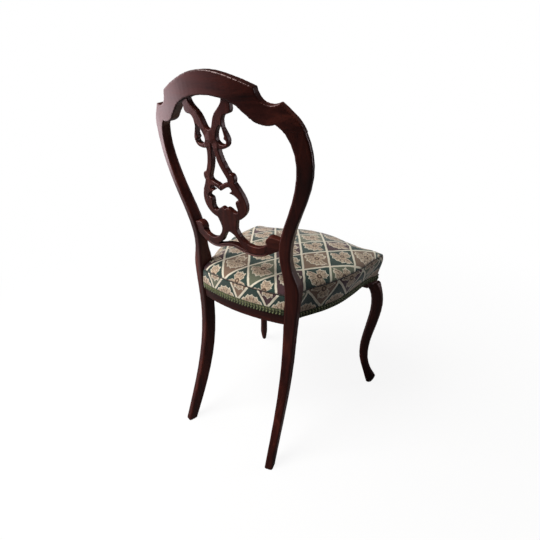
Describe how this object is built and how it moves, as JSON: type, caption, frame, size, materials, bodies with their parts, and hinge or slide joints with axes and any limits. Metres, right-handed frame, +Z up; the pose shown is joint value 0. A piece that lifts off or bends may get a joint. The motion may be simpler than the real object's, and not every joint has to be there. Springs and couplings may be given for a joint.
{
  "type": "dining chair",
  "caption": "Balloon back dining chair with a pierced carved splat, cabriole front legs, swept rear legs and a stuffed tapestry seat edged with gimp.",
  "frame": {"origin": "on the floor under the middle of the chair's outline", "axes": "+Z up from the floor, -Y the way the sitter faces, +X to the sitter's left"},
  "size_m": [0.4448, 0.4764, 0.8809],
  "materials": {
    "mahogany": "polished",
    "beech": "matte",
    "steel": "satin",
    "blued_steel": "satin",
    "tapestry": "woven",
    "gimp": "braided",
    "webbing": "woven",
    "hessian": "woven",
    "stuffing": "fibrous",
    "dust_cloth": "woven"
  },
  "bodies": {
    "root": {"corner_block_front_left": "beech", "corner_block_front_right": "beech", "corner_block_rear_left": "beech", "corner_block_rear_right": "beech", "corner_screws": "steel", "cover_border_front": "tapestry", "cover_border_rear": "tapestry", "cover_top": "tapestry", "crest_dowels": "beech", "crest_rail": "mahogany", "cross_rail": "mahogany", "cross_rail_dowels": "beech", "dust_cover": "dust_cloth", "dust_cover_tacks": "blued_steel", "front_leg_left": "mahogany", "front_leg_right": "mahogany", "front_rail": "mahogany", "gimp_front": "gimp", "gimp_rear": "gimp", "hessian": "hessian", "rear_rail": "mahogany", "seat_rail_dowels": "beech", "side_rail_left": "mahogany", "side_rail_right": "mahogany", "splat": "mahogany", "stile_left": "mahogany", "stile_right": "mahogany", "stuffing_pad": "stuffing", "webbing_front_to_back": "webbing", "webbing_side_to_side": "webbing", "webbing_tacks": "blued_steel"}
  },
  "joints": []
}
